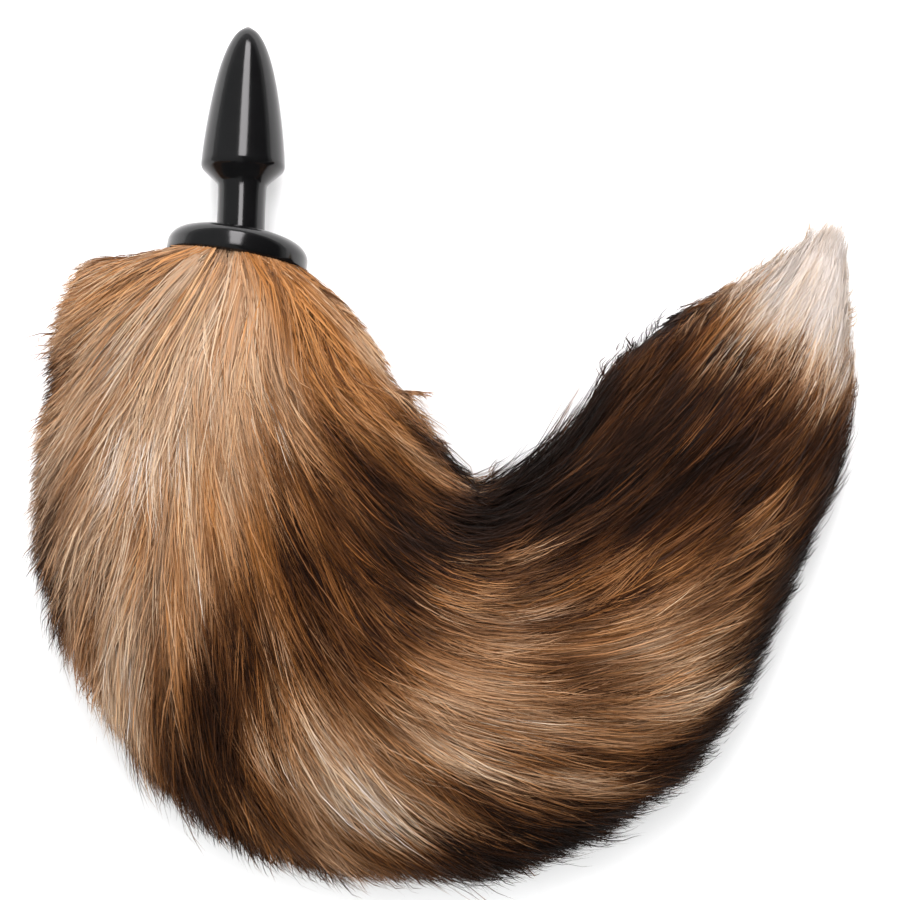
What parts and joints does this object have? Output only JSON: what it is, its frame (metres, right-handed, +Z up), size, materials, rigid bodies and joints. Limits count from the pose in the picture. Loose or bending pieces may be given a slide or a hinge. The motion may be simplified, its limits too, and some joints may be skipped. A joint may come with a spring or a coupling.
{
  "type": "tail butt plug",
  "caption": "Costume tail of long brown fur with a cream tip, lying curled, on a glossy black tapered plug with a round flange.",
  "frame": {"origin": "the bottom centre of the bounding box, on the table that the tail lies on", "axes": "+Z up from the table, +Y the way the plug points and the tail's curl opens, +X towards the tail's tip"},
  "size_m": [0.326, 0.3414, 0.0814],
  "materials": {
    "plug": "polished black",
    "post": "plain",
    "fur": "long soft fur, tan, dark brown and cream"
  },
  "bodies": {
    "root": {"plug": "plug", "tail_post": "post", "tail_fur": "fur"}
  },
  "joints": []
}
